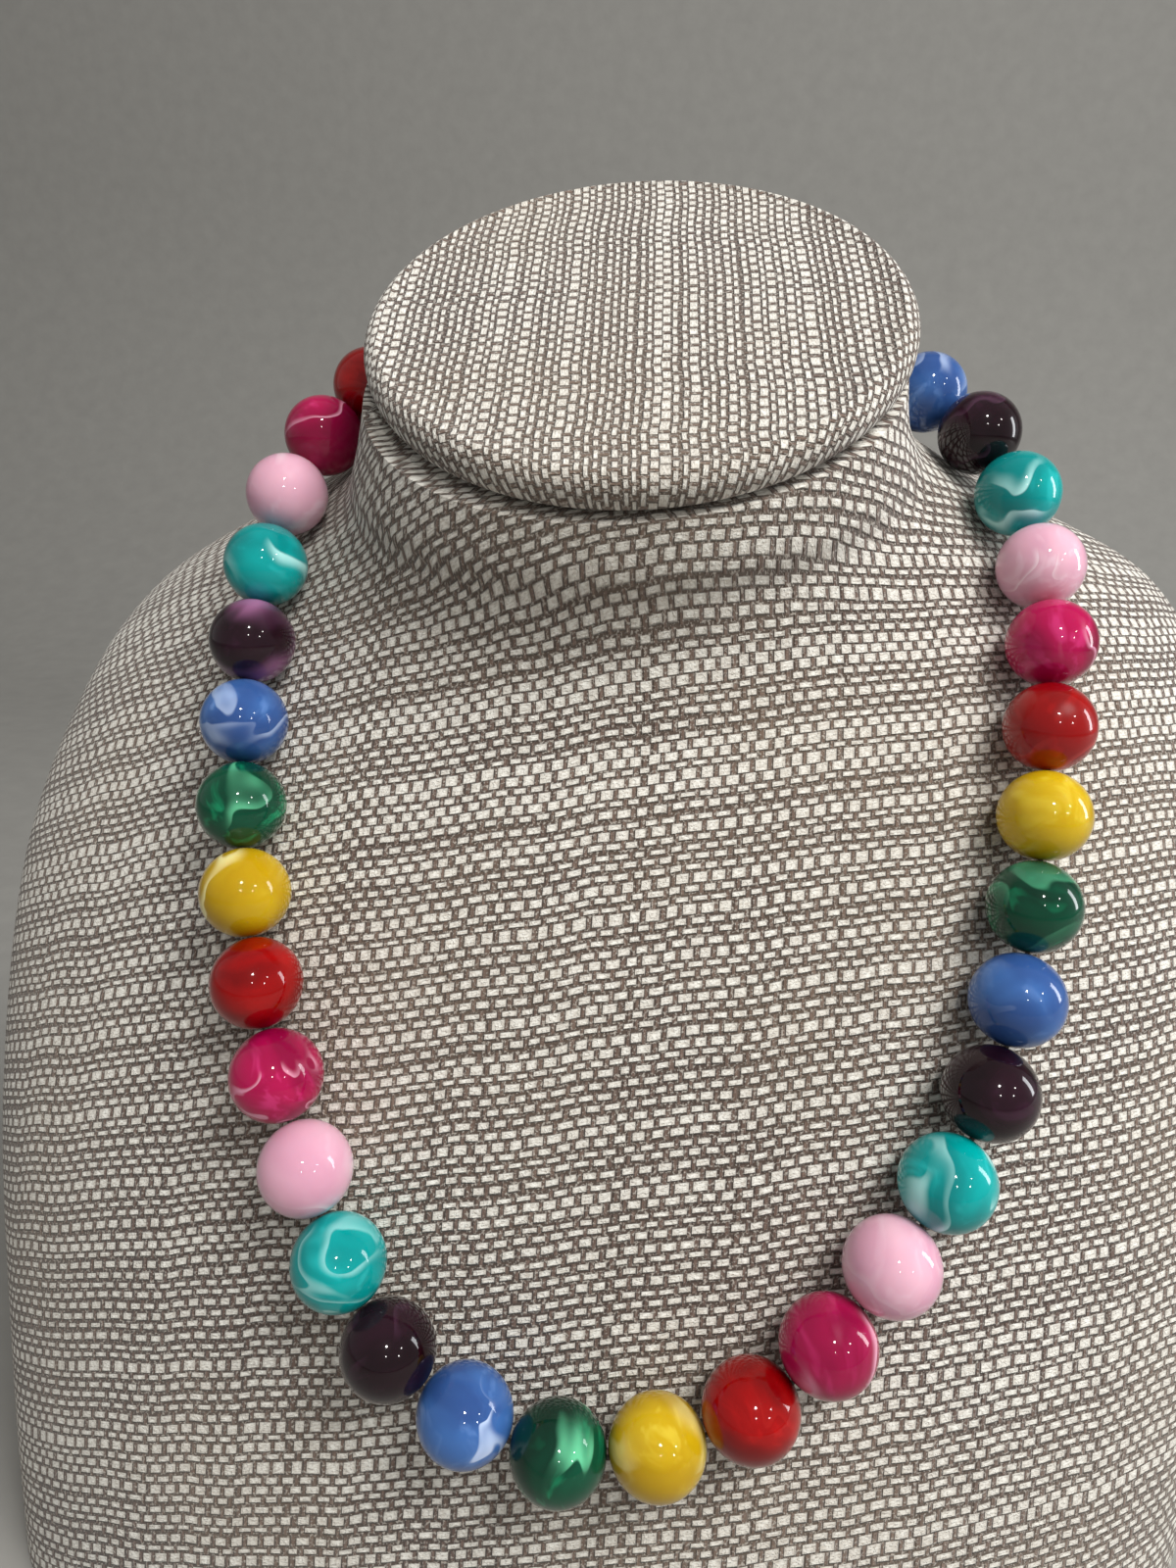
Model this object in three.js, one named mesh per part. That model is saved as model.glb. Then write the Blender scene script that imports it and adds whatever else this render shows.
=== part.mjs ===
// A single-strand necklace of large round beads, worn on a cloth-covered neck bust.
// Millimetres, +Z up. The origin is on the ground under the middle of the whole object, and the
// bust faces -Y. The sizes below are counted from under the neck, and the finished group is
// moved over its origin at the end.

import * as THREE from "three";
import { mergeVertices } from "three/addons/utils/BufferGeometryUtils.js";

// ---- driving dimensions ------------------------------------------------------------------

const BEAD_DIAMETER = 17.8;
const BEAD_GAP = 0.25; // between neighbouring beads along the thread
const BEADS_LEFT = 18; // strung between the front bead and the clasp, on the -X side
const BEADS_RIGHT = 18; // the same on the +X side
const BORE_RADIUS = 1.2;
const REST_GAP = 0.4; // between a bead and the cloth that it rests on

const THREAD_RADIUS = 0.5;
const THREAD_IN_CLASP = 2; // how far each end of the thread reaches into the clasp

const CLASP_LENGTH = 9;
const CLASP_RADIUS = 4;
const CLASP_END_RADIUS = 2.4;
const CLASP_CHAMFER = 2;
const CLASP_SOCKET_DEPTH = 3;

const CAP_CENTRE = new THREE.Vector3(-3, -1, 282); // middle of the cap's upper face
const CAP_TILT = 35.5; // degrees that the cap faces forward
const CAP_ROLL = 4; // degrees that its +X side is raised
const CAP_RADIUS = 57.5;
const CAP_THICKNESS = 9;
const CAP_EDGE_RADIUS = 4;
const CAP_GAP = 0.4; // between the cap's underside and the neck

// The bust is a stack of level or tilted sections. Each one lies in a plane through a front
// point and a back point, and is widest part of the way between the two. middleX is where it
// is centred. square is the exponent of its outline: 2 is an ellipse, and more is squarer.
// roll, in degrees, raises its +X side. The top section follows the cap.
const BUST_COLUMNS = [
  "middleX", "frontY", "frontZ", "backY", "backZ", "half", "widest", "square", "roll",
];
const BUST_SECTIONS = [
  // middleX, frontY, frontZ, backY, backZ, half, widest, square, roll
  [0, -104, 0, 58, 0, 137, 0.4, 2.4, 0],
  [0, -95, 50, 63, 50, 142, 0.42, 2.3, 1],
  [0, -78, 104, 68, 106, 148, 0.46, 2.3, 1],
  [0, -59, 150, 72, 160, 151, 0.52, 2, 1],
  [0, -44, 180, 74, 208, 141, 0.58, 1.9, 2],
  [0, -35, 198, 74, 236, 125, 0.62, 1.9, 3],
  [-1, -32, 212, 66, 256, 92, 0.59, 1.9, 3],
  [-2, -35, 223, 53, 271, 67, 0.5, 1.9, 4],
  [-3, -40, 231, 45, 284, 59, 0.44, 2, 4],
];
const NECK_TOP = { middleX: -3, frontY: -43, backY: 41, half: 56, widest: 0.46, square: 2 };
const BUST_AROUND = 64;
const RINGS_PER_SECTION = 2;

// The way the strand takes over the chest and round behind the neck. Each point is near the
// line of the bead centres; the exact height over the cloth is worked out from the bust.
const STRAND_ROUTE = [
  [-2, -96, 81],
  [32, -92, 91],
  [56, -82, 116],
  [73, -65, 143],
  [81, -47, 173],
  [84, -28, 203],
  [84, -7, 233],
  [73, 15, 260],
  [60, 30, 271],
  [33, 46, 284],
  [0, 52, 288],
  [-33, 44, 282],
  [-62, 24, 266],
  [-77, 0, 239],
  [-80, -23, 211],
  [-76, -43, 181],
  [-67, -62, 151],
  [-53, -77, 122],
  [-34, -90, 94],
];
const ROUTE_STEPS = 90; // points of the route that are settled on the cloth
const WALK_STEPS = 20000; // how finely the route is walked to space the beads

const BEAD_SIDES = 12;
const BEAD_STEPS = 7; // along the outside from bore to bore
const CAP_SIDES = 48;
const CAP_EDGE_STEPS = 3;
const CLASP_SIDES = 12;
const THREAD_SIDES = 6;
const THREAD_STEPS_PER_BEAD = 4;

// ---- finishes ----------------------------------------------------------------------------

const resin = (color) => new THREE.MeshStandardMaterial({ color, roughness: 0.08, metalness: 0 });
const BEAD_FINISHES = [
  resin(0xa30a12), // red
  resin(0x9c1748), // magenta
  resin(0xd98cae), // pink
  resin(0x0f8c84), // teal
  resin(0x2a1024), // dark purple
  resin(0x3a5190), // blue
  resin(0x0a3d2c), // green
  resin(0xe0a21e), // yellow
];
const FIRST_BEAD_FINISH = 4; // the bead next to the clasp on the -X side is dark purple
const linen = new THREE.MeshStandardMaterial({ color: 0xb7a893, roughness: 0.9, metalness: 0 });
const gilt = new THREE.MeshStandardMaterial({ color: 0xb08d4a, roughness: 0.3, metalness: 1 });
const cotton = new THREE.MeshStandardMaterial({ color: 0x2b2624, roughness: 0.9, metalness: 0 });

// ---- helpers -----------------------------------------------------------------------------

const radians = THREE.MathUtils.degToRad;
const UP = new THREE.Vector3(0, 1, 0); // a lathe turns about Y

// Makes a closed solid from a turned profile, with its shared points merged.
function turned(profile, sides) {
  const geometry = new THREE.LatheGeometry(profile, sides);
  geometry.deleteAttribute("normal");
  geometry.deleteAttribute("uv");
  return mergeVertices(geometry, 1e-4);
}

// A lathe's axis, laid along a direction.
const along = (direction) => new THREE.Quaternion().setFromUnitVectors(UP, direction);

// ---- the bust ----------------------------------------------------------------------------

const capSlopeY = Math.tan(radians(CAP_TILT));
const capSlopeX = Math.tan(radians(CAP_ROLL));
const capNormal = new THREE.Vector3(-capSlopeX, -capSlopeY, 1).normalize();

// The height of the neck's top face, below the cap, at a place on the neck's middle line.
function neckTopHeight(y) {
  const below = (CAP_THICKNESS + CAP_GAP) / capNormal.z;
  const aside = (NECK_TOP.middleX - CAP_CENTRE.x) * capSlopeX;
  return CAP_CENTRE.z - below + (y - CAP_CENTRE.y) * capSlopeY + aside;
}

const topSection = {
  ...NECK_TOP,
  frontZ: neckTopHeight(NECK_TOP.frontY),
  backZ: neckTopHeight(NECK_TOP.backY),
  roll: CAP_ROLL,
};

// Runs a smooth curve through every column of the table and returns the finer stack.
function smoothSections() {
  const rows = [...BUST_SECTIONS, BUST_COLUMNS.map((column) => topSection[column])];
  const places = rows.map((row, index) => index);
  const curve = new THREE.CubicInterpolant(places, rows.flat(), BUST_COLUMNS.length);
  const rings = (rows.length - 1) * RINGS_PER_SECTION;
  return Array.from({ length: rings + 1 }, (unused, ring) => {
    const found = curve.evaluate(ring / RINGS_PER_SECTION);
    return Object.fromEntries(BUST_COLUMNS.map((column, index) => [column, found[index]]));
  });
}

// A point of a section's outline, at an angle that starts at +X and passes the back.
function sectionPoint(section, angle) {
  const power = 2 / section.square;
  const bulge = (value) => Math.sign(value) * Math.abs(value) ** power;
  const x = section.half * bulge(Math.cos(angle));
  const reach = bulge(Math.sin(angle));
  const depth = section.widest + reach * (reach < 0 ? section.widest : 1 - section.widest);
  const y = THREE.MathUtils.lerp(section.frontY, section.backY, depth);
  const z = THREE.MathUtils.lerp(section.frontZ, section.backZ, depth);
  return [section.middleX + x, y, z + x * Math.tan(radians(section.roll))];
}

function bustGeometry() {
  const sections = smoothSections();
  const positions = [];
  for (const section of sections) {
    for (let side = 0; side < BUST_AROUND; side += 1) {
      positions.push(...sectionPoint(section, (side / BUST_AROUND) * 2 * Math.PI));
    }
  }
  const middle = (section) => {
    const y = THREE.MathUtils.lerp(section.frontY, section.backY, section.widest);
    const z = THREE.MathUtils.lerp(section.frontZ, section.backZ, section.widest);
    return [section.middleX, y, z];
  };
  positions.push(...middle(sections[0]), ...middle(sections[sections.length - 1]));

  const faces = [];
  const corner = (ring, side) => ring * BUST_AROUND + (side % BUST_AROUND);
  for (let side = 0; side < BUST_AROUND; side += 1) {
    for (let ring = 0; ring + 1 < sections.length; ring += 1) {
      const [a, b] = [corner(ring, side), corner(ring, side + 1)];
      const [c, d] = [corner(ring + 1, side + 1), corner(ring + 1, side)];
      faces.push(a, b, c, a, c, d);
    }
    const topRing = sections.length - 1;
    const baseMiddle = sections.length * BUST_AROUND;
    faces.push(baseMiddle, corner(0, side + 1), corner(0, side));
    faces.push(baseMiddle + 1, corner(topRing, side), corner(topRing, side + 1));
  }
  const geometry = new THREE.BufferGeometry();
  geometry.setAttribute("position", new THREE.Float32BufferAttribute(positions, 3));
  geometry.setIndex(faces);
  return geometry;
}

const bust = new THREE.Mesh(bustGeometry(), linen);
bust.name = "bust_form";

// The cap is a flat disc with a rolled edge.
function capGeometry() {
  const profile = [new THREE.Vector2(0, -CAP_THICKNESS)];
  const roll = (middleY, from) => {
    for (let step = 0; step <= CAP_EDGE_STEPS; step += 1) {
      const angle = from + (step / CAP_EDGE_STEPS) * (Math.PI / 2);
      const x = CAP_RADIUS - CAP_EDGE_RADIUS + CAP_EDGE_RADIUS * Math.cos(angle);
      profile.push(new THREE.Vector2(x, middleY + CAP_EDGE_RADIUS * Math.sin(angle)));
    }
  };
  roll(-CAP_THICKNESS + CAP_EDGE_RADIUS, -Math.PI / 2);
  roll(-CAP_EDGE_RADIUS, 0);
  profile.push(new THREE.Vector2(0, 0));
  return turned(profile, CAP_SIDES);
}

const cap = new THREE.Mesh(capGeometry(), linen);
cap.name = "neck_cap";
cap.position.copy(CAP_CENTRE);
cap.quaternion.copy(along(capNormal));

// ---- the strand --------------------------------------------------------------------------

// Moves a point straight away from the cloth, or towards it, until a bead there just rests.
function settledOnBust(point) {
  const surface = bust.geometry.getAttribute("position");
  const index = bust.geometry.getIndex();
  const triangle = new THREE.Triangle();
  const candidate = new THREE.Vector3();
  const nearest = new THREE.Vector3();
  let least = Infinity;
  for (let face = 0; face < index.count; face += 3) {
    const corners = [0, 1, 2].map((offset) => index.getX(face + offset));
    triangle.setFromAttributeAndIndices(surface, ...corners);
    triangle.closestPointToPoint(point, candidate);
    const distance = candidate.distanceTo(point);
    if (distance < least) {
      least = distance;
      nearest.copy(candidate);
    }
  }
  const outward = point.clone().sub(nearest).normalize();
  return nearest.addScaledVector(outward, BEAD_DIAMETER / 2 + REST_GAP);
}

const roughRoute = new THREE.CatmullRomCurve3(
  STRAND_ROUTE.map((place) => new THREE.Vector3(...place)),
  true,
);
const settledPoints = roughRoute.getSpacedPoints(ROUTE_STEPS).slice(0, -1).map(settledOnBust);
const route = new THREE.CatmullRomCurve3(settledPoints, true);
const walk = route.getSpacedPoints(WALK_STEPS);

// Places a number of beads one after another, a bead and a gap apart, from the front bead.
function beadsFromFront(count, step) {
  const pitch = BEAD_DIAMETER + BEAD_GAP;
  const centres = [];
  let last = walk[0];
  for (let place = 0; centres.length < count; place += step) {
    const point = walk[(place + WALK_STEPS) % WALK_STEPS];
    if (point.distanceTo(last) >= pitch) {
      centres.push(point.clone());
      last = point;
    }
  }
  return centres;
}

const rightSide = beadsFromFront(BEADS_RIGHT, 1);
const leftSide = beadsFromFront(BEADS_LEFT, -1);
const centres = [...leftSide.reverse(), walk[0].clone(), ...rightSide];
const firstCentre = centres[0];
const lastCentre = centres[centres.length - 1];

const claspCentre = firstCentre.clone().lerp(lastCentre, 0.5);
const claspDirection = firstCentre.clone().sub(lastCentre).normalize();

// The way the bore of a bead points: from the neighbour before it to the one after it.
function boreDirection(index) {
  const before = index > 0 ? centres[index - 1] : claspCentre;
  const after = index + 1 < centres.length ? centres[index + 1] : claspCentre;
  return after.clone().sub(before).normalize();
}

// A drilled ball: its outside runs from one end of the bore to the other.
function beadGeometry() {
  const radius = BEAD_DIAMETER / 2;
  const mouth = Math.asin(BORE_RADIUS / radius);
  const profile = [];
  for (let step = 0; step <= BEAD_STEPS; step += 1) {
    const angle = mouth + (step / BEAD_STEPS) * (Math.PI - 2 * mouth);
    profile.push(new THREE.Vector2(radius * Math.sin(angle), -radius * Math.cos(angle)));
  }
  profile.push(profile[0].clone());
  return turned(profile, BEAD_SIDES);
}

const beads = centres.map((centre, index) => {
  const finish = BEAD_FINISHES[(FIRST_BEAD_FINISH + index) % BEAD_FINISHES.length];
  const bead = new THREE.Mesh(beadGeometry(), finish);
  bead.name = `bead_${String(index + 1).padStart(2, "0")}`;
  bead.position.copy(centre);
  bead.quaternion.copy(along(boreDirection(index)));
  return bead;
});

// A plain barrel with a socket in each end for the thread.
function claspGeometry() {
  const end = CLASP_LENGTH / 2;
  const bottom = [
    [0, -end + CLASP_SOCKET_DEPTH],
    [BORE_RADIUS, -end + CLASP_SOCKET_DEPTH],
    [BORE_RADIUS, -end],
    [CLASP_END_RADIUS, -end],
    [CLASP_RADIUS, -end + CLASP_CHAMFER],
  ];
  const top = bottom.map(([x, y]) => [x, -y]).reverse();
  return turned([...bottom, ...top].map(([x, y]) => new THREE.Vector2(x, y)), CLASP_SIDES);
}

const clasp = new THREE.Mesh(claspGeometry(), gilt);
clasp.name = "clasp";
clasp.position.copy(claspCentre);
clasp.quaternion.copy(along(claspDirection));

// The thread runs straight through each bore and bends in the gaps between the beads.
function threadGeometry() {
  const inBore = BEAD_DIAMETER * 0.42;
  const claspReach = CLASP_LENGTH / 2 - THREAD_IN_CLASP;
  const points = [claspCentre.clone().addScaledVector(claspDirection, claspReach)];
  centres.forEach((centre, index) => {
    const direction = boreDirection(index);
    points.push(centre.clone().addScaledVector(direction, -inBore));
    points.push(centre);
    points.push(centre.clone().addScaledVector(direction, inBore));
  });
  points.push(claspCentre.clone().addScaledVector(claspDirection, -claspReach));

  const section = new THREE.Shape();
  for (let side = 0; side < THREAD_SIDES; side += 1) {
    const angle = (side / THREAD_SIDES) * 2 * Math.PI;
    const corner = [THREAD_RADIUS * Math.cos(angle), THREAD_RADIUS * Math.sin(angle)];
    if (side === 0) section.moveTo(...corner);
    else section.lineTo(...corner);
  }
  section.closePath();
  return new THREE.ExtrudeGeometry(section, {
    steps: centres.length * THREAD_STEPS_PER_BEAD,
    extrudePath: new THREE.CatmullRomCurve3(points),
  });
}

const thread = new THREE.Mesh(threadGeometry(), cotton);
thread.name = "thread";

// ---- the assembly ------------------------------------------------------------------------

const group = new THREE.Group();
group.add(bust, cap, thread, clasp, ...beads);

const footprint = new THREE.Box3().setFromObject(group).getCenter(new THREE.Vector3());
group.position.set(-footprint.x, -footprint.y, 0);

export default group;
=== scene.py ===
# %% [markdown]
# # A strand of marbled beads on a linen neck bust
#
# This lesson dresses a finished construction model. The model already holds every bead, the
# thread, the clasp and the display bust at their real size and place. Here each of them gets
# the surface that the eye expects: polished cloudy resin, a coarse cream and taupe weave, a
# little gilt metal. We load the model, then make the big soft form first, because its colour
# sets the light, then the beads, and last the camera and lamps.

# %% Load the construction model
import math

import bpy
import numpy as np
from mathutils import Matrix, Vector


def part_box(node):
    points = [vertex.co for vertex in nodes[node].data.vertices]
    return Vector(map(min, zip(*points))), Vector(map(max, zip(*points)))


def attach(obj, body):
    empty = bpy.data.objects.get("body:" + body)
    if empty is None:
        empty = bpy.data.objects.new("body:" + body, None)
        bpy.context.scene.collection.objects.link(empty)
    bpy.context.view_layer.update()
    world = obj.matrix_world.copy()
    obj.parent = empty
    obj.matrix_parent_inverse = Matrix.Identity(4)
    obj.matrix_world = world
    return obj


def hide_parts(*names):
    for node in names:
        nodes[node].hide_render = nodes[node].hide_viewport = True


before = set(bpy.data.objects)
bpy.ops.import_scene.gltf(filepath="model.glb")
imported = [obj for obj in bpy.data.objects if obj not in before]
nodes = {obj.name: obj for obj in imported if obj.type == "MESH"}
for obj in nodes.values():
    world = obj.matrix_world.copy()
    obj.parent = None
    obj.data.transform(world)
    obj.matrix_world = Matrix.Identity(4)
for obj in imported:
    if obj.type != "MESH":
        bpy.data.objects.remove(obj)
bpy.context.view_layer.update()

# %% [markdown]
# Operators act on whatever is selected, and the loaded model comes in selected. A small
# helper clears the selection, and every step that adds a primitive starts with it.

# %% Small helpers
MM = 0.001


def deselect_all():
    """Leaves nothing selected and nothing in edit mode."""
    if bpy.context.object and bpy.context.object.mode != "OBJECT":
        bpy.ops.object.mode_set(mode="OBJECT")
    bpy.ops.object.select_all(action="DESELECT")


def middle_of(node):
    """The middle of a model node's box."""
    low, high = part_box(node)
    return (Vector(low) + Vector(high)) / 2


def settle(piece, name, material, slot, *replaced):
    """Names a finished piece, gives it its finish and lets it ride on the model."""
    piece.name = name
    piece.data.name = name
    piece.data.materials.clear()
    piece.data.materials.append(material)
    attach(piece, "root")
    if replaced:
        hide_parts(*replaced)


# %% [markdown]
# ## A tiny kit for shader nodes
#
# Every finish below is a chain of nodes. Written out in full each chain is long and hard to
# read, so a small class adds a node, fills its sockets and returns the output that is wanted.

# %% The shader kit
class Finish:
    """Builds one node material, a node at a time."""

    def __init__(self, name):
        self.material = bpy.data.materials.new(name)
        self.material.use_nodes = True
        self.tree = self.material.node_tree
        self.shader = self.tree.nodes["Principled BSDF"]

    def set(self, **values):
        """Sets sockets of the surface shader; an underscore stands for a space."""
        for key, value in values.items():
            socket = self.shader.inputs[key.replace("_", " ")]
            self.give(socket, value)

    def give(self, socket, value):
        """Links an output to a socket, or sets a plain value on it."""
        if isinstance(value, bpy.types.NodeSocket):
            self.tree.links.new(value, socket)
        else:
            socket.default_value = value

    def add(self, kind, inputs=(), output=0, **settings):
        """Adds a node, fills its first inputs in order and returns one output."""
        node = self.tree.nodes.new(kind)
        for key, value in settings.items():
            setattr(node, key, value)
        for place, value in dict(inputs).items():
            self.give(node.inputs[place], value)
        return node.outputs[output]

    def math(self, operation, *values, clamp=False):
        places = dict(enumerate(values))
        return self.add("ShaderNodeMath", places, operation=operation, use_clamp=clamp)

    def vector(self, operation, *values, output=0):
        places = dict(enumerate(values))
        return self.add("ShaderNodeVectorMath", places, output, operation=operation)

    def noise(self, where, scale, detail=2.0, roughness=0.5, distortion=0.0, output=0):
        places = {
            "Vector": where, "Scale": scale, "Detail": detail,
            "Roughness": roughness, "Distortion": distortion,
        }
        return self.add("ShaderNodeTexNoise", places, output)

    def between(self, value, low, high):
        """0 below low, 1 above high and smooth in between."""
        places = {0: value, 1: low, 2: high, 3: 0.0, 4: 1.0}
        return self.add("ShaderNodeMapRange", places, interpolation_type="SMOOTHSTEP")

    def blend(self, amount, first, second):
        """Mixes two colours."""
        node = self.tree.nodes.new("ShaderNodeMix")
        node.data_type = "RGBA"
        for place, value in ((0, amount), (6, first), (7, second)):
            self.give(node.inputs[place], value)
        return node.outputs[2]

    def bump(self, height, strength, distance, normal=None):
        places = {"Height": height, "Strength": strength, "Distance": distance}
        if normal is not None:
            places["Normal"] = normal
        return self.add("ShaderNodeBump", places)

    def combine(self, x, y, z=0.0):
        return self.add("ShaderNodeCombineXYZ", {0: x, 1: y, 2: z})


print("shader kit ready")

# %% [markdown]
# ## The linen
#
# The bust wears a coarse plain weave. Cream weft yarns run across, and thinner taupe warp
# yarns run up and down. Where weft is on top it shows as a fat pale dash; where warp is on
# top it shows as a thin dark upright stroke. The yarn is uneven, so some rows are twice as
# thick as others. The weave could be real geometry, but there are hundreds of thousands
# of crossings, so it is a pattern in colour and height that reads the cloth's own UV map, in
# metres. One period holds two rows and two columns, shifted like a chess board.

# %% The weave material
ROW_PITCH = 2.1 * MM
COLUMN_PITCH = 1.78 * MM
CREAM = (0.95, 0.945, 0.88, 1)
CREAM_SHADE = (0.55, 0.51, 0.45, 1)
TAUPE = (0.105, 0.066, 0.052, 1)
TAUPE_LIGHT = (0.22, 0.155, 0.125, 1)
# A near-black brown, darker than the warp yarn: painted shade for the recesses between the yarns.
GAP_PAINTED_SHADE = (0.070, 0.048, 0.038, 1)


def linen(name, row_pitch, column_pitch):
    """A slubby plain weave that follows the cloth's UV map."""
    cloth = Finish(name)
    uv = cloth.add("ShaderNodeUVMap", uv_map="weave")
    split = cloth.tree.nodes.new("ShaderNodeSeparateXYZ")
    cloth.give(split.inputs[0], uv)
    across, along = split.outputs[0], split.outputs[1]

    # Rows wander slowly up and down, and change thickness from row to row.
    sway = cloth.noise(cloth.combine(cloth.math("MULTIPLY", across, 18.0), along), 3.0)
    slow = cloth.noise(cloth.combine(cloth.math("MULTIPLY", across, 0.05), along), 230.0, 1.0)
    slow_across = cloth.noise(cloth.combine(across, cloth.math("MULTIPLY", along, 0.05)), 260.0, 1.0)
    row_shift = cloth.math("MULTIPLY", cloth.math("SUBTRACT", slow, 0.5), 1.0)
    sway_shift = cloth.math("MULTIPLY", cloth.math("SUBTRACT", sway, 0.5), 1.2)
    row = cloth.math("ADD", cloth.math("DIVIDE", along, row_pitch), row_shift)
    row = cloth.math("ADD", row, sway_shift)
    column_shift = cloth.math("MULTIPLY", cloth.math("SUBTRACT", slow_across, 0.5), 0.9)
    column = cloth.math("ADD", cloth.math("DIVIDE", across, column_pitch), column_shift)

    row_index = cloth.math("FLOOR", row)
    row_part = cloth.math("FRACT", row)

    # Every other row is shifted by one column, so that dashes sit like bricks.
    odd = cloth.math("FLOORED_MODULO", row_index, 2.0)
    brick = cloth.math("DIVIDE", cloth.math("ADD", column, odd), 2.0)
    wobble = cloth.add("ShaderNodeTexWhiteNoise", {"W": row_index}, 0, noise_dimensions="1D")
    brick = cloth.math("ADD", brick, cloth.math("MULTIPLY", wobble, 0.08))
    brick_part = cloth.math("FRACT", brick)
    brick_index = cloth.math("FLOOR", brick)

    # No two crossings are alike: each gets a chance number of its own.
    place = cloth.combine(brick_index, row_index)
    chance = cloth.add("ShaderNodeTexWhiteNoise", {"Vector": place}, 0, noise_dimensions="2D")

    # The weft dash: a rounded pillow that fills most of the period.
    from_middle = cloth.math("ABSOLUTE", cloth.math("SUBTRACT", brick_part, 0.5))
    length_change = cloth.math("MULTIPLY", chance, 0.07)
    column_wobble = cloth.add(
        "ShaderNodeTexWhiteNoise", {"W": cloth.math("FLOOR", column)}, 0, noise_dimensions="1D",
    )
    heavy_column = cloth.between(column_wobble, 0.70, 0.78)
    dash_end = cloth.math("SUBTRACT", 0.365, length_change)
    dash_end = cloth.math("MULTIPLY_ADD", heavy_column, -0.07, dash_end)
    dash_stop = cloth.math("ADD", dash_end, 0.055)
    dash_edge = cloth.math("SUBTRACT", 1.0, cloth.between(from_middle, dash_end, dash_stop))
    across_row = cloth.math("ABSOLUTE", cloth.math("SUBTRACT", row_part, 0.5))
    fat_row = cloth.between(wobble, 0.62, 0.74)
    half_thick = cloth.math("MULTIPLY_ADD", fat_row, 0.17, 0.17)
    half_thick = cloth.math("MULTIPLY_ADD", chance, 0.06, half_thick)
    row_edge = cloth.math(
        "SUBTRACT", 1.0, cloth.between(across_row, half_thick, cloth.math("ADD", half_thick, 0.15)),
    )
    dash = cloth.math("MULTIPLY", dash_edge, row_edge)

    # The warp stroke shows between the dashes, and reaches over into the next rows.
    stroke = cloth.between(from_middle, 0.36, 0.43)

    fibres = cloth.noise(cloth.combine(cloth.math("MULTIPLY", across, 0.35), along), 2600.0, 3.0, 0.6)
    fibres_up = cloth.noise(cloth.combine(across, cloth.math("MULTIPLY", along, 0.35)), 2600.0, 3.0, 0.6)

    pale = cloth.blend(cloth.between(fibres, 0.3, 0.62), CREAM_SHADE, CREAM)
    pale = cloth.blend(cloth.math("MULTIPLY", chance, 0.35), pale, CREAM_SHADE)
    # Painted shade: each pale dash is darkened towards its two ends, where the rounded yarn turns down
    # under the next crossing.
    dash_end_painted_shade = cloth.math("MULTIPLY", cloth.between(from_middle, 0.1, 0.40), 0.75)
    pale = cloth.blend(dash_end_painted_shade, pale, CREAM_SHADE)
    dark = cloth.blend(cloth.between(fibres_up, 0.35, 0.75), TAUPE, TAUPE_LIGHT)
    dark = cloth.blend(cloth.math("MULTIPLY", heavy_column, 0.6), dark, TAUPE)
    # Where no warp stroke is on top, between the rows and around the dash ends, the colour is painted
    # shade in the recess between the yarns.
    under = cloth.blend(stroke, GAP_PAINTED_SHADE, dark)

    # Thin cream threads peep out between the rows, which lightens the gaps.
    peep_noise = cloth.noise(uv, 1500.0, 2.0, 0.55)
    peep = cloth.math("MULTIPLY", cloth.between(peep_noise, 0.50, 0.64), 0.7)
    under = cloth.blend(peep, under, CREAM_SHADE)
    colour = cloth.blend(dash, under, pale)

    # Broad uneven ageing, warm in some places and greyer in others.
    place_noise = cloth.noise(cloth.add("ShaderNodeTexCoord", output=3), 14.0, 3.0)
    ageing = cloth.between(place_noise, 0.35, 0.7)
    colour = cloth.blend(cloth.math("MULTIPLY", ageing, 0.16), colour, (0.42, 0.33, 0.22, 1))

    round_dash = cloth.math("SQRT", cloth.math("MAXIMUM", dash, 0.0))
    height = cloth.math("ADD", round_dash, cloth.math("MULTIPLY", stroke, 0.45))
    height = cloth.math("ADD", height, cloth.math("MULTIPLY", fibres, 0.22))
    height = cloth.math("ADD", height, cloth.math("MULTIPLY", peep, 0.3))
    cloth.set(Base_Color=colour, Roughness=0.86, Normal=cloth.bump(height, 0.9, 0.7 * MM))
    cloth.set(Sheen_Weight=0.25, Sheen_Roughness=0.6, Specular_IOR_Level=0.2)
    return cloth.material


linen_chest = linen("linen_chest", ROW_PITCH, COLUMN_PITCH)
linen_cap = linen("linen_cap", 0.85 * ROW_PITCH, 0.9 * COLUMN_PITCH)
print("linen:", len(linen_chest.node_tree.nodes), "nodes")

# %% [markdown]
# ## The padded bust
#
# A neck bust is a hard shell with a little padding, pulled over with cloth. Its shape is a
# stack of outlines: wide and boxy at the foot, leaning back over the chest, drawn in at the
# throat. The construction model was made from a short table of such sections, and we use the
# same table for a much finer skin. We start from a flat grid primitive, so that the faces
# come in tidy rows, and wrap its points round the sections.

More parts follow.
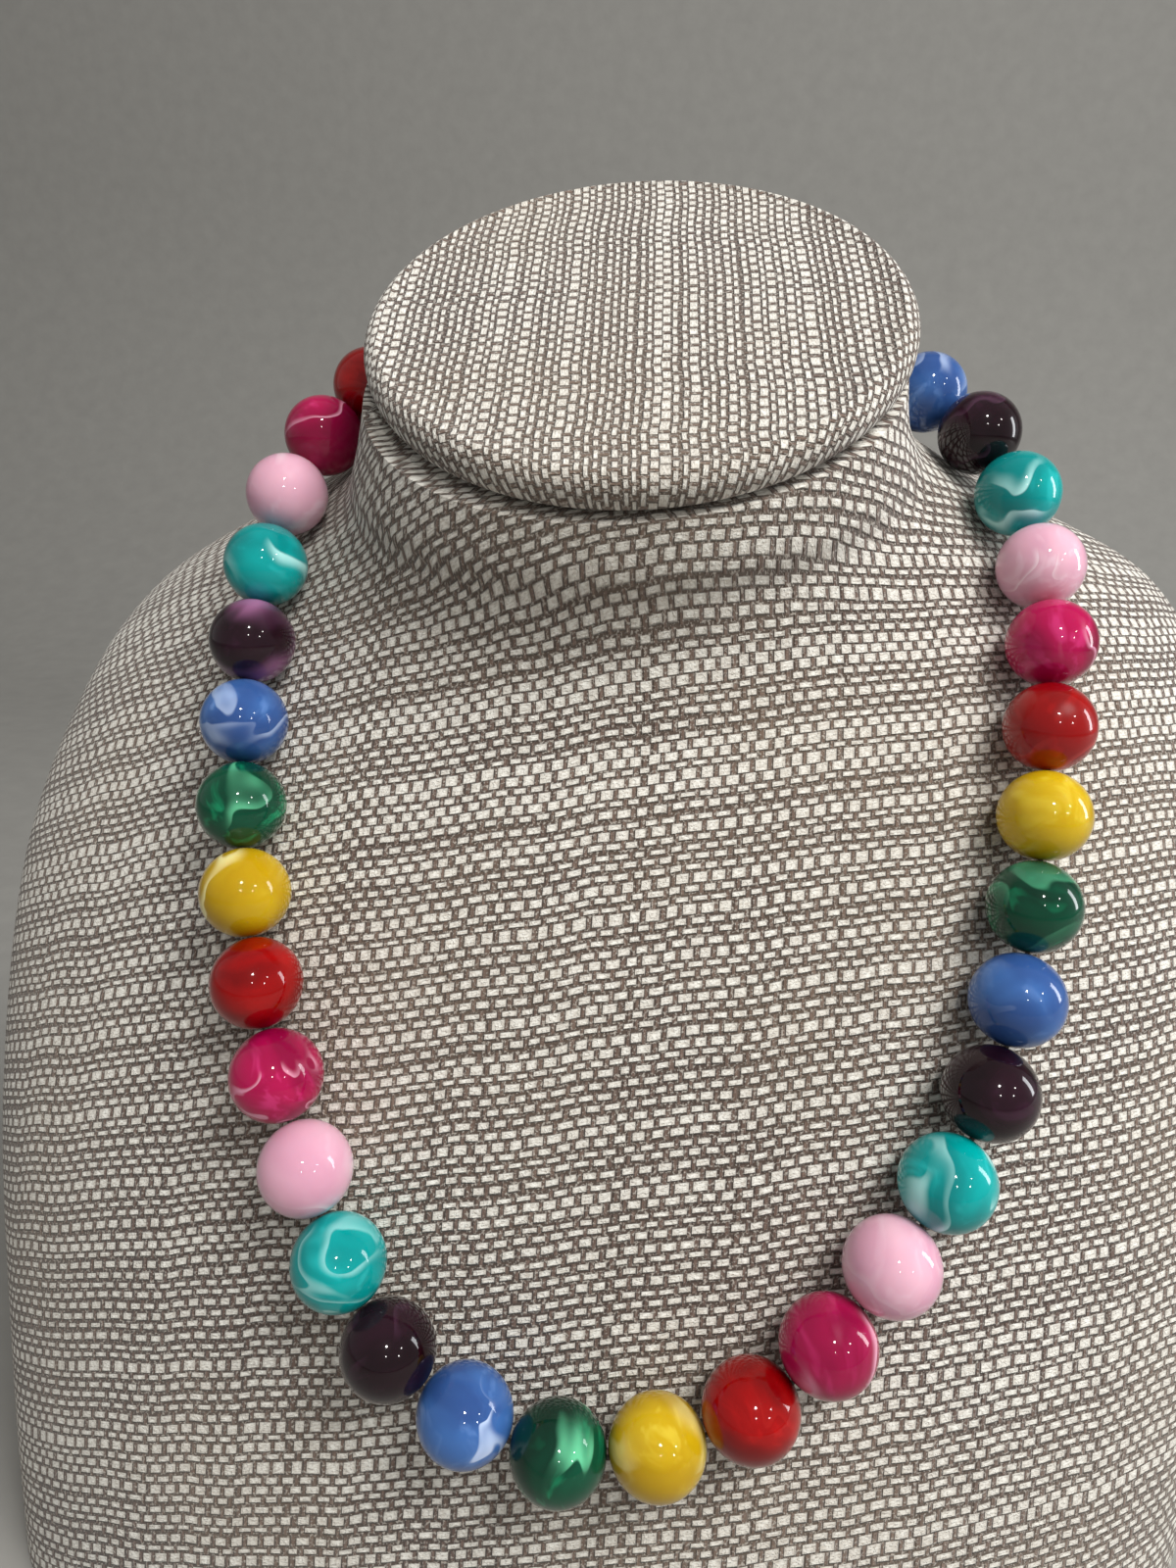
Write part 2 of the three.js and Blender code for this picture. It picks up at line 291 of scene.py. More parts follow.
# %% The sections of the bust
COLUMNS = ("middle_x", "front_y", "front_z", "back_y", "back_z", "half", "widest", "square", "roll")
SECTIONS = [
    # middle_x, front_y, front_z, back_y, back_z, half, widest, square, roll
    (0, -104, 0, 58, 0, 137, 0.40, 2.4, 0),
    (0, -95, 50, 63, 50, 142, 0.42, 2.3, 1),
    (0, -78, 104, 68, 106, 148, 0.46, 2.3, 1),
    (0, -59, 150, 72, 160, 151, 0.52, 2.0, 1),
    (0, -44, 180, 74, 208, 141, 0.58, 1.9, 2),
    (0, -35, 198, 74, 236, 125, 0.62, 1.9, 3),
    (-1, -32, 212, 66, 256, 92, 0.59, 1.9, 3),
    (-2, -35, 223, 53, 271, 67, 0.50, 1.9, 4),
    (-3, -40, 231, 45, 284, 59, 0.44, 2.0, 4),
]
NECK_FRONT_Y, NECK_BACK_Y, NECK_HALF, NECK_WIDEST = -43, 41, 56, 0.46
CAP_CENTRE = Vector((-3, -1, 282))
CAP_TILT = math.radians(35.5)
CAP_ROLL = math.radians(4)
CAP_RADIUS = 57.5
CAP_THICKNESS = 9
CAP_GAP = 0.4

cap_slope_y = math.tan(CAP_TILT)
cap_slope_x = math.tan(CAP_ROLL)
cap_normal = Vector((-cap_slope_x, -cap_slope_y, 1)).normalized()


def neck_top_height(y):
    """How high the neck's top face is, under the cap."""
    below = (CAP_THICKNESS + CAP_GAP) / cap_normal.z
    return CAP_CENTRE.z - below + (y - CAP_CENTRE.y) * cap_slope_y


SECTIONS.append((
    CAP_CENTRE.x, NECK_FRONT_Y, neck_top_height(NECK_FRONT_Y),
    NECK_BACK_Y, neck_top_height(NECK_BACK_Y), NECK_HALF, NECK_WIDEST, 2.0, math.degrees(CAP_ROLL),
))
table = np.array(SECTIONS, float)
print("sections:", table.shape)

# %% [markdown]
# The table has ten rows, and the skin needs more than a hundred. A cubic curve through each
# column fills in the rest. Its slope at a row is the average of the steps on either side.

# %% Fill in between the sections
def smooth_rows(places):
    """The table's columns at any place between its rows, by cubic curves."""
    last = len(table) - 1
    lower = np.clip(np.floor(places).astype(int), 0, last - 1)
    part = (places - lower)[:, None]
    slopes = np.gradient(table, axis=0)
    slopes[0] = 1.5 * (table[1] - table[0]) - 0.5 * slopes[1]
    slopes[-1] = 1.5 * (table[-1] - table[-2]) - 0.5 * slopes[-2]
    start, end = table[lower], table[lower + 1]
    start_slope, end_slope = slopes[lower], slopes[lower + 1]
    rise = part * part * (3 - 2 * part)
    keep = part * (1 - part) ** 2
    leave = part * part * (part - 1)
    return start + (end - start) * rise + start_slope * keep + end_slope * leave


def section_points(rows, angles):
    """Points of every section at every angle: 0 is +X, and a quarter turn on is the back."""
    columns = {name: rows[:, [place]] for place, name in enumerate(COLUMNS)}
    power = 2 / columns["square"]
    cosine, sine = np.cos(angles)[None, :], np.sin(angles)[None, :]
    x = columns["half"] * np.sign(cosine) * np.abs(cosine) ** power
    reach = np.sign(sine) * np.abs(sine) ** power
    widest = columns["widest"]
    depth = widest + reach * np.where(reach < 0, widest, 1 - widest)
    y = columns["front_y"] + (columns["back_y"] - columns["front_y"]) * depth
    z = columns["front_z"] + (columns["back_z"] - columns["front_z"]) * depth
    z = z + x * np.tan(np.radians(columns["roll"]))
    return np.stack([columns["middle_x"] + x, y, z], axis=-1)


# The model's origin is under the middle of the whole object, and the table's is under the neck.
bust_low, bust_high = (np.array(corner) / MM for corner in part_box("bust_form"))
probe = section_points(smooth_rows(np.linspace(0, len(table) - 1, 200)), np.linspace(0, 2 * np.pi, 400))
shift = Vector((0, bust_high[1] - probe[..., 1].max(), 0))
print("table to model shift, mm:", round(shift.y, 2))

# %% [markdown]
# The grid's left and right borders meet at the middle of the back, where the real cover has
# its seam. After wrapping, the doubles along that seam are merged, and the open foot is
# closed with a face, as a real bust has a board underneath. The top stays under the cap.
#
# The weave needs a map in metres. Across, it is the distance round the section from the
# middle of the front. Up and down, it is the height along a line that leans back like the
# chest, which makes rows droop over the shoulders as real cloth does. The rows also climb
# towards +X, as on a cover pulled on a little askew.

# %% Wrap the skin
AROUND = 300
RINGS = 200
CLOTH_LEAN = math.radians(27)
CLOTH_SKEW = 0.21
FRONT_HALF = 115
FRONT_FADE = 80


def wrapped_grid():
    """A grid primitive bent round the bust, with its weave map."""
    deselect_all()
    bpy.ops.mesh.primitive_grid_add(x_subdivisions=AROUND, y_subdivisions=RINGS, size=2)
    skin = bpy.context.object
    count = len(skin.data.vertices)
    flat = np.empty(count * 3)
    skin.data.vertices.foreach_get("co", flat)
    flat = flat.reshape(-1, 3)
    turns = np.round((flat[:, 0] + 1) / 2 * AROUND).astype(int)
    levels = np.round((flat[:, 1] + 1) / 2 * RINGS).astype(int)

    # An even step in angle crowds points at the flanks, so steps follow the real distance.
    places = np.linspace(0, len(table) - 1, RINGS + 1)
    fine = np.linspace(0, 2 * np.pi, 2401) + np.pi / 2
    outline = section_points(smooth_rows(places), fine)
    steps = np.linalg.norm(np.diff(outline, axis=1), axis=2)
    travelled = np.concatenate([np.zeros((RINGS + 1, 1)), np.cumsum(steps, axis=1)], axis=1)
    points = np.empty((RINGS + 1, AROUND + 1, 3))
    distance = np.empty((RINGS + 1, AROUND + 1))
    for level in range(RINGS + 1):
        wanted = np.linspace(0, travelled[level, -1], AROUND + 1)
        for axis in range(3):
            points[level, :, axis] = np.interp(wanted, travelled[level], outline[level, :, axis])
        front_place = np.interp(fine[0] + np.pi, fine, travelled[level])
        distance[level] = wanted - front_place
    placed = points[levels, turns] + np.array(shift)
    skin.data.vertices.foreach_set("co", (placed * MM).ravel())

    lean = np.array([0, math.sin(CLOTH_LEAN), math.cos(CLOTH_LEAN)])
    across = distance[levels, turns] * MM

    # Behind the flanks the height would squash the rows, so there they follow the way up
    # the skin instead.
    height = (points + np.array(shift)) @ lean
    climbs = np.linalg.norm(np.diff(points, axis=0), axis=2)
    climbed = np.concatenate([np.zeros((1, AROUND + 1)), np.cumsum(climbs, axis=0)])
    climbed = climbed + (height - climbed)[RINGS // 2]
    behind = np.clip((np.abs(distance) - FRONT_HALF) / FRONT_FADE, 0, 1)
    behind = behind * behind * (3 - 2 * behind)
    rows_up = height * (1 - behind) + climbed * behind
    along = rows_up[levels, turns] * MM - CLOTH_SKEW * across
    corners = np.empty(len(skin.data.loops), int)
    skin.data.loops.foreach_get("vertex_index", corners)
    weave = skin.data.uv_layers[0]
    weave.name = "weave"
    weave.data.foreach_set("uv", np.stack([across[corners], along[corners]], axis=1).ravel())
    return skin


bust_skin = wrapped_grid()
print("skin points:", len(bust_skin.data.vertices))

# %% [markdown]
# Now the seam is closed and the foot is given its board: merge doubles, find the open border
# edges at the foot and at the top, fill them, and turn every face outwards.

# %% Close the seam and the foot
def close_skin(skin):
    """Merges the back seam and fills the two open ends."""
    deselect_all()
    bpy.context.view_layer.objects.active = skin
    skin.select_set(True)
    bpy.ops.object.mode_set(mode="EDIT")
    bpy.ops.mesh.select_all(action="SELECT")
    bpy.ops.mesh.remove_doubles(threshold=0.02 * MM)
    bpy.ops.mesh.select_all(action="DESELECT")
    bpy.ops.mesh.select_mode(type="EDGE")
    bpy.ops.mesh.select_non_manifold(extend=False)
    bpy.ops.mesh.fill_holes(sides=0)
    bpy.ops.mesh.select_all(action="SELECT")
    bpy.ops.mesh.normals_make_consistent(inside=False)
    bpy.ops.object.mode_set(mode="OBJECT")
    bpy.ops.object.shade_smooth_by_angle(angle=math.radians(50))


close_skin(bust_skin)
settle(bust_skin, "bust_skin", linen_chest, "linen", "bust_form")
print("bust faces:", len(bust_skin.data.polygons))

# %% [markdown]
# ## The neck cap
#
# The neck ends in a slanted disc, covered with the same cloth. The cloth is drawn tight over
# a rolled edge. We add a cylinder primitive of the cap's size, round off its two rims with a
# bevel, inset the top so that the cloth map has somewhere to go, and puff the middle a little.
# It is modelled flat at the origin and then laid in its plane, and its place is applied.

# %% Model the cap
CAP_SIDES = 160
CAP_ROUNDING = 4.2
CAP_PUFF = 1.0


def cap_matrix():
    """Where the cap lies: its own Z is the cap's face direction, its X stays nearly level."""
    ahead = Vector((1, 0, cap_slope_x)).normalized()
    side = cap_normal.cross(ahead).normalized()
    turn = Matrix((ahead, side, cap_normal)).transposed().to_4x4()
    return Matrix.Translation((CAP_CENTRE + shift) * MM) @ turn


def rounded_cap():
    """A disc with rolled edges, modelled flat."""
    deselect_all()
    bpy.ops.mesh.primitive_cylinder_add(
        vertices=CAP_SIDES, radius=CAP_RADIUS * MM, depth=CAP_THICKNESS * MM,
        location=(0, 0, -CAP_THICKNESS * MM / 2),
    )
    disc = bpy.context.object
    bpy.ops.object.transform_apply(location=True, rotation=True, scale=True)
    bpy.ops.object.mode_set(mode="EDIT")
    bpy.ops.mesh.select_all(action="DESELECT")
    bpy.ops.object.mode_set(mode="OBJECT")
    for edge in disc.data.edges:
        first, second = (disc.data.vertices[corner].co for corner in edge.vertices)
        edge.select = abs(first.z - second.z) < 1e-6
    bpy.ops.object.mode_set(mode="EDIT")
    bpy.ops.mesh.select_mode(type="EDGE")
    bpy.ops.mesh.bevel(offset=CAP_ROUNDING * MM, segments=8, profile=0.5)
    for rings in range(9):
        bpy.ops.mesh.select_mode(type="FACE")
        bpy.ops.mesh.select_all(action="DESELECT")
        bpy.ops.object.mode_set(mode="OBJECT")
        for face in disc.data.polygons:
            face.select = len(face.vertices) > 8 and face.normal.z > 0.9
        bpy.ops.object.mode_set(mode="EDIT")
        bpy.ops.mesh.inset(thickness=5.4 * MM, depth=0)
    bpy.ops.object.mode_set(mode="OBJECT")
    return disc


cap_piece = rounded_cap()
print("cap faces:", len(cap_piece.data.polygons))

# %% [markdown]
# On the cap the pale yarns run from front to back, across those of the chest. The weave map
# is the flat top view, and over the rolled edge it keeps going by the length of the roll.

# %% Map and place the cap
def map_cap(disc):
    """Gives the cap its weave map and lays it on the neck."""
    top = disc.data
    weave = top.uv_layers[0]
    weave.name = "weave"
    flat = (CAP_RADIUS - CAP_ROUNDING) * MM
    for vertex in top.vertices:
        out = math.hypot(vertex.co.x, vertex.co.y)
        if vertex.co.z > -1e-5:
            vertex.co.z += CAP_PUFF * MM * (max(0.0, 1 - (out / flat) ** 2) - 1) * 0.5
    for loop in top.loops:
        place = top.vertices[loop.vertex_index].co
        out = math.hypot(place.x, place.y)
        down = max(0.0, -place.z - CAP_PUFF * MM * 0.5)
        stretch = 1 + down / max(out, 1e-6) * 0.9
        turned = (place.y * stretch, place.x * stretch)
        weave.data[loop.index].uv = turned
    disc.data.transform(cap_matrix())
    deselect_all()
    bpy.context.view_layer.objects.active = disc
    disc.select_set(True)
    bpy.ops.object.shade_smooth_by_angle(angle=math.radians(50))


map_cap(cap_piece)
settle(cap_piece, "cap_skin", linen_cap, "linen", "neck_cap")
print("cap placed at", tuple(round(v, 4) for v in cap_matrix().translation))

# %% [markdown]
# ## The beads
#
# Each bead is a drilled and polished ball. A sphere primitive has ugly poles but no hole, so
# we use them: the polar caps are cut away with bisect at the mouth of the bore, and the two
# open rings are joined with a bridge, which makes the wall of the bore. One bead is modelled,
# and all others are copies with their own mesh, turned so that the bore follows the thread.

# %% Model one bead
BEAD_RADIUS = 8.9 * MM
BORE_RADIUS = 1.2 * MM


def drilled_ball():
    """A polished ball with a bore along Z."""
    deselect_all()
    bpy.ops.mesh.primitive_uv_sphere_add(segments=48, ring_count=40, radius=BEAD_RADIUS)
    ball = bpy.context.object
    mouth = math.sqrt(BEAD_RADIUS ** 2 - BORE_RADIUS ** 2)
    for side in (1, -1):
        bpy.ops.object.mode_set(mode="EDIT")
        bpy.ops.mesh.select_all(action="SELECT")
        bpy.ops.mesh.bisect(
            plane_co=(0, 0, side * mouth), plane_no=(0, 0, side),
            clear_outer=True, use_fill=False,
        )
        bpy.ops.object.mode_set(mode="OBJECT")
    bpy.ops.object.mode_set(mode="EDIT")
    bpy.ops.mesh.select_mode(type="EDGE")
    bpy.ops.mesh.select_all(action="DESELECT")
    bpy.ops.mesh.select_non_manifold(extend=False)
    bpy.ops.mesh.bridge_edge_loops()
    bpy.ops.mesh.select_all(action="SELECT")
    bpy.ops.mesh.normals_make_consistent(inside=False)
    bpy.ops.object.mode_set(mode="OBJECT")
    bpy.ops.object.shade_smooth_by_angle(angle=math.radians(40))
    return ball


pattern_bead = drilled_ball()
print("one bead:", len(pattern_bead.data.polygons), "faces")

# %% [markdown]
# ## Marbled resin
#
# Such a resin could be poured in two colours, a deep body and a pale pearly one, and stirred a
# little before it sets. The pale part then stays as thin curling sheets, which a polished ball cuts
# through as streaks, loops and clouds. A noise texture gives sheets: where its value crosses
# a chosen level, a thin band is lit. If the noise reads a position that is itself pushed
# about by another noise, the bands curl. The surface is very smooth under a clear coat, and
# a little light is scattered below it.

# %% Marble material
RESINS = {
    # body, deep, veil and streak colours
    "red": ((0.34, 0.0008, 0.0010), (0.18, 0.0, 0.0004), (0.48, 0.004, 0.004), (0.68, 0.04, 0.03)),
    "magenta": ((0.43, 0.004, 0.075), (0.23, 0.001, 0.038), (0.60, 0.030, 0.17), (0.85, 0.40, 0.55)),
    "pink": ((0.78, 0.45, 0.56), (0.66, 0.33, 0.45), (0.84, 0.58, 0.68), (0.96, 0.86, 0.90)),
    "teal": ((0.0, 0.37, 0.36), (0.0, 0.22, 0.22), (0.02, 0.52, 0.52), (0.50, 0.90, 0.88)),
    "purple": ((0.017, 0.003, 0.009), (0.007, 0.001, 0.003), (0.045, 0.010, 0.032), (0.42, 0.16, 0.34)),
    "blue": ((0.050, 0.15, 0.42), (0.028, 0.08, 0.26), (0.13, 0.26, 0.57), (0.48, 0.60, 0.84)),
    "green": ((0.0, 0.070, 0.033), (0.0, 0.022, 0.011), (0.004, 0.23, 0.10), (0.14, 0.60, 0.33)),
    "yellow": ((0.60, 0.395, 0.006), (0.46, 0.28, 0.002), (0.70, 0.53, 0.04), (0.92, 0.84, 0.38)),
}


def opaque(colour):
    return (*colour, 1)


def marbled(name, resin, seed, streak=1.0, width=0.035, scale=95.0, cloud=0.6, clear=0.0, curl=1.0):
    """A polished resin with curling pale sheets. seed picks another part of the pour."""
    body, deep, veil, pale = (opaque(colour) for colour in RESINS[resin])
    pour = Finish(name)
    here = pour.add("ShaderNodeTexCoord", output=3)
    here = pour.vector("ADD", here, (0.37 * seed, 0.21 * seed, 0.13 * seed))
    swirl = pour.noise(here, scale * 0.55, 1.5, 0.45, output=1)
    swirl = pour.vector("SUBTRACT", swirl, (0.5, 0.5, 0.5))
    pushed = pour.add(
        "ShaderNodeVectorMath", {0: swirl, "Scale": 0.026 * curl}, operation="SCALE",
    )
    curled = pour.vector("ADD", here, pushed)
    stretch = pour.add("ShaderNodeMapping", {0: curled, 2: (0.5, 0.9, seed), 3: (1.0, 0.45, 1.0)})

    sheets = pour.noise(stretch, scale, 1.2, 0.4)
    soft_side = pour.between(sheets, 0.5 - width * 2.2, 0.5)
    sharp_side = pour.math("SUBTRACT", 1.0, pour.between(sheets, 0.5, 0.5 + width * 0.4))
    line = pour.math("MULTIPLY", soft_side, sharp_side)
    fade = pour.between(pour.noise(here, scale * 0.8, 1.0), 0.42, 0.62)
    line = pour.math("MULTIPLY", pour.math("MULTIPLY", line, fade), streak, clamp=True)

    fine = pour.noise(stretch, scale * 3.0, 2.0, 0.5)
    fine_line = pour.between(fine, 0.52, 0.70)
    depth = pour.between(pour.noise(curled, scale * 0.7, 2.0), 0.35, 0.65)
    colour = pour.blend(depth, deep, body)
    veil_amount = pour.math("MULTIPLY", pour.math("MULTIPLY", fine_line, depth), cloud, clamp=True)
    colour = pour.blend(veil_amount, colour, veil)
    colour = pour.blend(line, colour, pale)

    pour.set(
        Base_Color=colour, Roughness=0.3, Coat_Weight=1.0, Coat_Roughness=0.03, Coat_IOR=1.46,
        IOR=1.45, Specular_IOR_Level=0.05, Subsurface_Weight=0.18, Subsurface_Radius=(0.6, 0.3, 0.25),
        Subsurface_Scale=2.0 * MM, Transmission_Weight=clear,
    )
    ripple = pour.noise(here, 160.0, 1.0)
    pour.set(Coat_Normal=pour.bump(ripple, 0.05, 0.02 * MM))
    return pour.material


print("resins:", ", ".join(RESINS))

# %% [markdown]
# The colours repeat in a fixed order all round the strand. No two beads of one colour look
# alike, because each is a different cut through the pour, so each has its own row of
# settings: how strong and how wide its streaks are, and how cloudy it is.

# %% The character of each bead
REPEAT = ["purple", "blue", "green", "yellow", "red", "magenta", "pink", "teal"]
CHARACTER = {
    # bead number: settings that differ from the plain pour
    5: dict(streak=0.1, cloud=0.2),
    6: dict(streak=0.8, width=0.03, scale=80, cloud=0.8),
    7: dict(streak=0.7, width=0.06, scale=70, cloud=1.0),
    8: dict(streak=0.8, width=0.08, scale=80),
    9: dict(streak=1.0, width=0.14, scale=60, cloud=0.6),
    10: dict(streak=0.6, width=0.05, scale=90, cloud=1.0),
    11: dict(streak=0.9, width=0.06, scale=90, cloud=1.0),
    12: dict(streak=0.9, width=0.06, scale=90),
    13: dict(streak=0.05, cloud=0.3),
    14: dict(streak=0.7, width=0.035, scale=110, cloud=0.8),
    15: dict(streak=1.0, width=0.05, scale=65, cloud=0.9),
    16: dict(streak=0.4, width=0.03, cloud=0.9),
    17: dict(streak=0.05, cloud=0.2),
    18: dict(streak=1.0, width=0.035, scale=100, cloud=0.6),
    19: dict(streak=1.0, width=0.05, scale=90, cloud=1.0),
    20: dict(streak=0.4, width=0.08, cloud=0.9),
    21: dict(streak=0.1, cloud=0.5),
    22: dict(streak=0.9, width=0.045, scale=78, cloud=0.7),
    23: dict(streak=0.15, cloud=0.6),
    24: dict(streak=1.0, width=0.06, scale=90, cloud=0.8),
    25: dict(streak=0.25, width=0.03, cloud=0.5),
    26: dict(streak=0.1, cloud=0.4),
    27: dict(streak=0.3, width=0.08, cloud=1.0),
    28: dict(streak=0.2, cloud=0.8),
    29: dict(streak=0.5, width=0.04, scale=70, cloud=0.7, clear=0.2),
    30: dict(streak=0.8, width=0.035, scale=80, cloud=0.8),
    31: dict(streak=0.5, cloud=0.8),
    32: dict(streak=0.9, width=0.06, scale=90, cloud=0.8),
    33: dict(streak=0.1, cloud=0.3),
    34: dict(streak=0.6, width=0.06, cloud=0.9),
}

bead_names = sorted(name for name in nodes if name.startswith("bead_"))
centres = [middle_of(name) for name in bead_names]
clasp_centre = middle_of("clasp")


def bore_direction(place):
    """The way the thread runs through a bead: from one neighbour to the other."""
    before = centres[place - 1] if place else clasp_centre
    after = centres[place + 1] if place + 1 < len(centres) else clasp_centre
    return (after - before).normalized()


def copy_of(pattern, centre, direction):
    """A copy of a piece with its own mesh, turned along a direction, its place applied."""
    copy = pattern.copy()
    copy.data = pattern.data.copy()
    bpy.context.collection.objects.link(copy)
    turn = Vector((0, 0, 1)).rotation_difference(direction).to_matrix().to_4x4()
    copy.data.transform(Matrix.Translation(centre) @ turn)
    return copy


# %% String the beads
for place, name in enumerate(bead_names):
    resin = REPEAT[place % len(REPEAT)]
    settings = CHARACTER.get(place + 1, {})
    finish = marbled(f"resin_{resin}_{place + 1:02d}", resin, place + 1, **settings)
    bead = copy_of(pattern_bead, centres[place], bore_direction(place))
    settle(bead, f"ball_{place + 1:02d}", finish, f"bead_{resin}", name)

bpy.data.objects.remove(pattern_bead)
print("beads:", len(bead_names))

# %% [markdown]
# ## Thread and clasp
#
# Only specks of these show. The model's own thread and barrel have the right shape, so they
# stay and get better finishes: a waxed twisted cord, and gilt metal with fine turning lines.

# %% Finish the thread
def waxed_cord():
    cord = Finish("waxed_cord")
    here = cord.add("ShaderNodeTexCoord", output=3)
    ply = cord.noise(here, 1800.0, 2.0)
    colour = cord.blend(ply, (0.02, 0.015, 0.012, 1), (0.10, 0.08, 0.065, 1))
    cord.set(Base_Color=colour, Roughness=0.62, Normal=cord.bump(ply, 0.5, 0.1 * MM))
    return cord.material


def gilt_metal():
    gilt = Finish("gilt_metal")
    here = gilt.add("ShaderNodeTexCoord", output=3)
    lines = gilt.noise(gilt.vector("MULTIPLY", here, (8.0, 1.0, 1.0)), 900.0, 2.0)
    colour = gilt.blend(lines, (0.62, 0.42, 0.17, 1), (0.83, 0.63, 0.30, 1))
    worn = gilt.math("MULTIPLY_ADD", lines, 0.2, 0.18)
    gilt.set(Base_Color=colour, Metallic=1.0, Roughness=worn)
    gilt.set(Normal=gilt.bump(lines, 0.12, 0.05 * MM))
    return gilt.material


for node, material in (("thread", waxed_cord()), ("clasp", gilt_metal())):
    mesh = nodes[node].data
    mesh.materials.clear()
    mesh.materials.append(material)
print("thread and clasp finished")

# %% [markdown]
# ## Stage, camera and light
#
# The bust stands on a plain pale floor that rises behind it in one sweep, so that nothing
# competes with the colours. We extrude a line of edges for the sweep and smooth it.

# %% The floor and backdrop
def sweep():
    """A floor that curves up into a wall."""
    deselect_all()
    bpy.ops.mesh.primitive_plane_add(size=1)
    floor = bpy.context.object
    floor.scale = (6, 3.4, 1)
    floor.location = (0, -1.0, 0)
    bpy.ops.object.transform_apply(location=True, rotation=True, scale=True)
    for step in range(12):
        bpy.ops.object.mode_set(mode="EDIT")
        bpy.ops.mesh.select_mode(type="EDGE")
        bpy.ops.mesh.select_all(action="DESELECT")
        bpy.ops.object.mode_set(mode="OBJECT")
        far = max(vertex.co.y + vertex.co.z for vertex in floor.data.vertices)
        for edge in floor.data.edges:
            ends = (floor.data.vertices[corner].co for corner in edge.vertices)
            edge.select = all(abs(end.y + end.z - far) < 1e-4 for end in ends)
        angle = math.radians(90) * (step + 0.5) / 12
        length = 0.07
        bpy.ops.object.mode_set(mode="EDIT")
        move = (0, length * math.cos(angle), length * math.sin(angle))
        bpy.ops.mesh.extrude_region_move(TRANSFORM_OT_translate={"value": move})
        bpy.ops.object.mode_set(mode="OBJECT")
    far = max(vertex.co.y + vertex.co.z for vertex in floor.data.vertices)
    bpy.ops.object.mode_set(mode="EDIT")
    bpy.ops.mesh.select_all(action="DESELECT")
    bpy.ops.object.mode_set(mode="OBJECT")
    for edge in floor.data.edges:
        ends = (floor.data.vertices[corner].co for corner in edge.vertices)
        edge.select = all(abs(end.y + end.z - far) < 1e-4 for end in ends)
    bpy.ops.object.mode_set(mode="EDIT")
    bpy.ops.mesh.extrude_region_move(TRANSFORM_OT_translate={"value": (0, 0, 2.5)})
    bpy.ops.object.mode_set(mode="OBJECT")
    bpy.ops.object.shade_smooth_by_angle(angle=math.radians(30))
    return floor


def plaster():
    wall = Finish("pale_plaster")
    here = wall.add("ShaderNodeTexCoord", output=3)
    grain = wall.noise(here, 60.0, 4.0)
    colour = wall.blend(grain, (0.27, 0.265, 0.25, 1), (0.33, 0.325, 0.305, 1))
    wall.set(Base_Color=colour, Roughness=0.9, Normal=wall.bump(grain, 0.2, 2 * MM))
    return wall.material


backdrop = sweep()
backdrop.name = "backdrop"
backdrop.data.materials.append(plaster())
print("backdrop faces:", len(backdrop.data.polygons))

# %% [markdown]
# The camera is a wide phone lens held close to the throat, a little above it, looking down at
# about eighteen degrees. Close and wide makes the lowest beads look larger than the top ones.

# %% Camera
LENS = 24.3
LOOK_DOWN = math.radians(18.2)
TURN_LEFT = math.radians(3.8)
HEAD_TILT = math.radians(2.65)
CAMERA_PLACE = Vector((7.4, -239.4, 255.6)) + shift

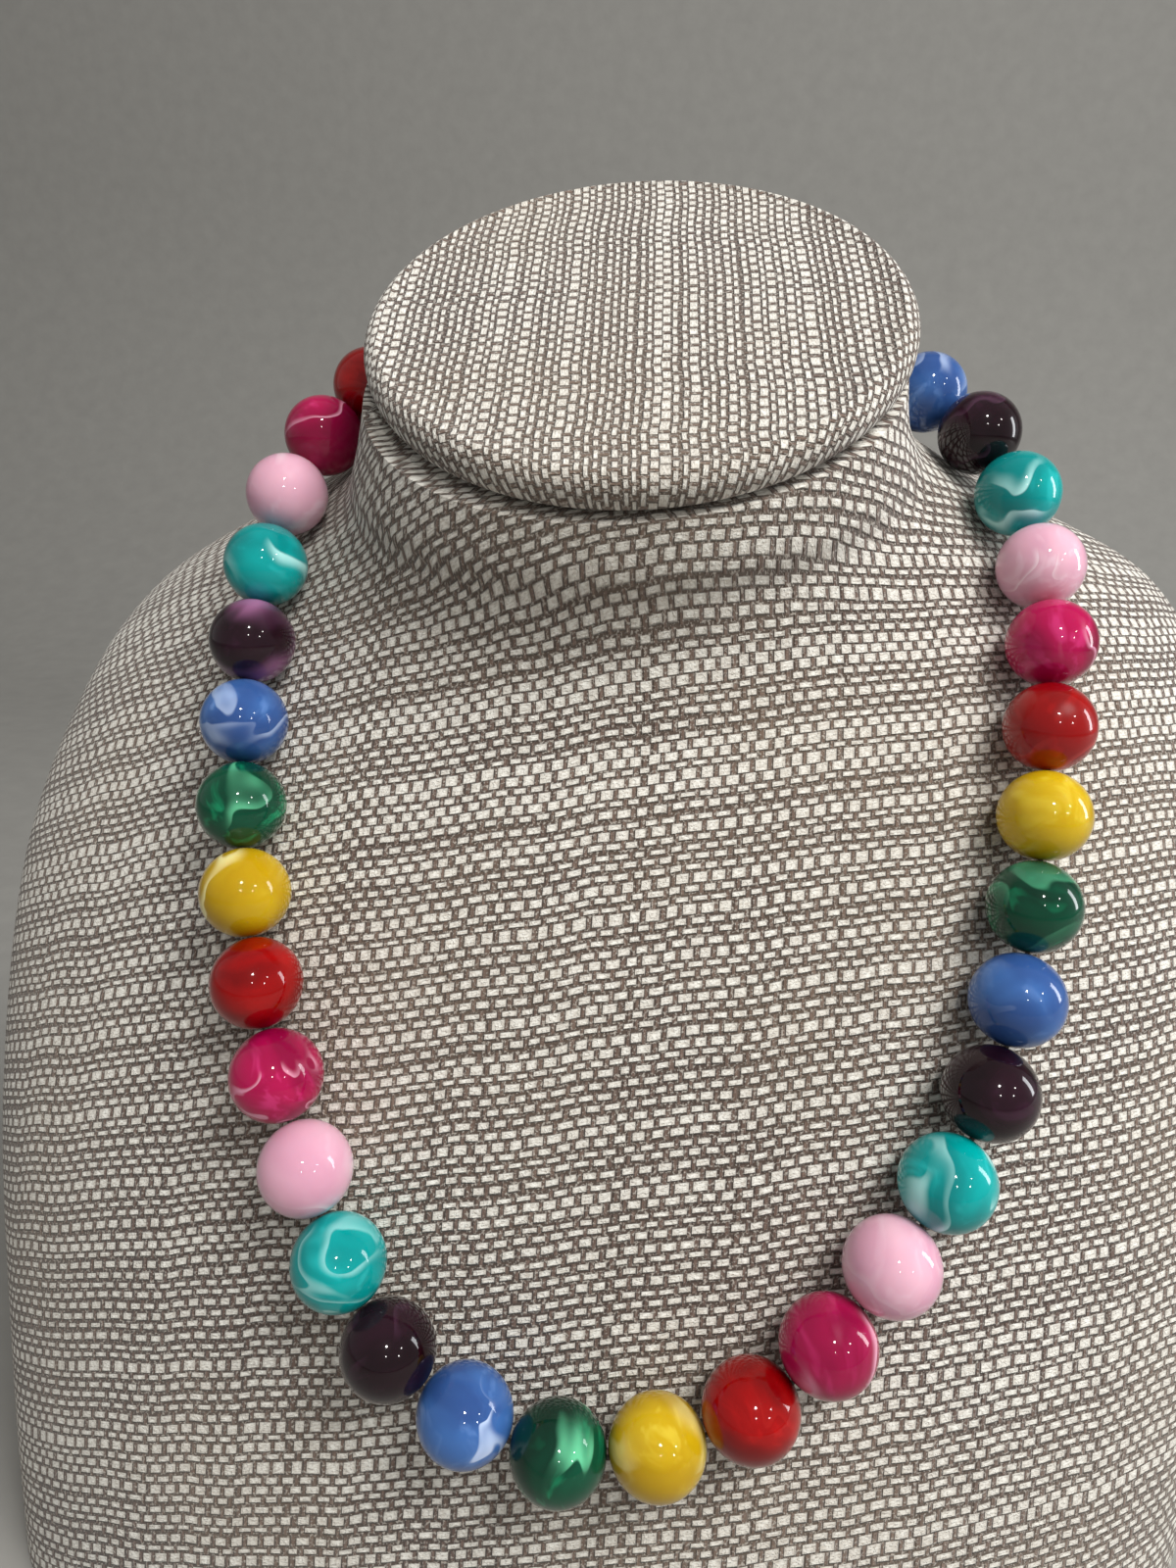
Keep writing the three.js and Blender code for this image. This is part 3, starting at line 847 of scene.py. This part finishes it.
camera_data = bpy.data.cameras.new("camera")
camera_data.lens = LENS
camera_data.clip_start = 0.01
camera = bpy.data.objects.new("camera", camera_data)
bpy.context.collection.objects.link(camera)
camera.matrix_world = (
    Matrix.Translation(CAMERA_PLACE * MM)
    @ Matrix.Rotation(TURN_LEFT, 4, "Z")
    @ Matrix.Rotation(math.pi / 2 - LOOK_DOWN, 4, "X")
    @ Matrix.Rotation(HEAD_TILT, 4, "Z")
)
bpy.context.scene.camera = camera
print("camera at", tuple(round(v, 3) for v in CAMERA_PLACE * MM))

# %% [markdown]
# A shop ceiling has a few small bright spots, which polished beads mirror as a cluster of
# points, and a lot of soft light from all around. So we use a pale world for the fill, one
# large soft panel above for gentle shadows under each bead, and four small spots for sparkle.
# The large panel is kept out of reflections, or it would cover the sparkle with a pale square.
# A tall panel at the side gives the long soft streak on the edge of each bead.

# %% Light
def panel(name, place, target, size, power, colour=(1, 1, 1)):
    """An area lamp that looks at a target."""
    lamp_data = bpy.data.lights.new(name, "AREA")
    lamp_data.shape = "RECTANGLE"
    lamp_data.size, lamp_data.size_y = size
    lamp_data.energy = power
    lamp_data.color = colour
    lamp = bpy.data.objects.new(name, lamp_data)
    bpy.context.collection.objects.link(lamp)
    lamp.location = place
    lamp.rotation_euler = (Vector(target) - Vector(place)).to_track_quat("-Z", "Y").to_euler()
    return lamp


world = bpy.data.worlds.new("room")
world.use_nodes = True
world.node_tree.nodes["Background"].inputs["Color"].default_value = (1.0, 0.985, 0.965, 1)
world.node_tree.nodes["Background"].inputs["Strength"].default_value = 0.30
bpy.context.scene.world = world

chest = (0, -0.05, 0.17)
ceiling = panel("ceiling", (0.66, -0.60, 1.42), chest, (0.70, 0.55), 23, (1.0, 0.985, 0.965))
ceiling.visible_glossy = False
panel("window", (1.55, 0.05, 0.60), chest, (0.25, 0.9), 7, (0.95, 0.97, 1.0))
SPOTS = [
    # degrees round to +X, degrees up, width, power
    (8, 50, 0.17, 5.5),
    (8, 29, 0.10, 1.2),
    (41, 24, 0.10, 1.2),
    (54, 36, 0.10, 1.2),
]
for number, (turn, rise, width, power) in enumerate(SPOTS):
    turn, rise = math.radians(turn), math.radians(rise)
    way = Vector((math.sin(turn) * math.cos(rise), -math.cos(turn) * math.cos(rise), math.sin(rise)))
    place = Vector(chest) + 2 * way
    spot = panel(f"spot_{number + 1}", place, chest, (width, width), power, (1.0, 0.97, 0.93))
    spot.data.shape = "DISK"
bpy.context.scene.view_settings.view_transform = "Standard"
print("lamps:", 2 + len(SPOTS))
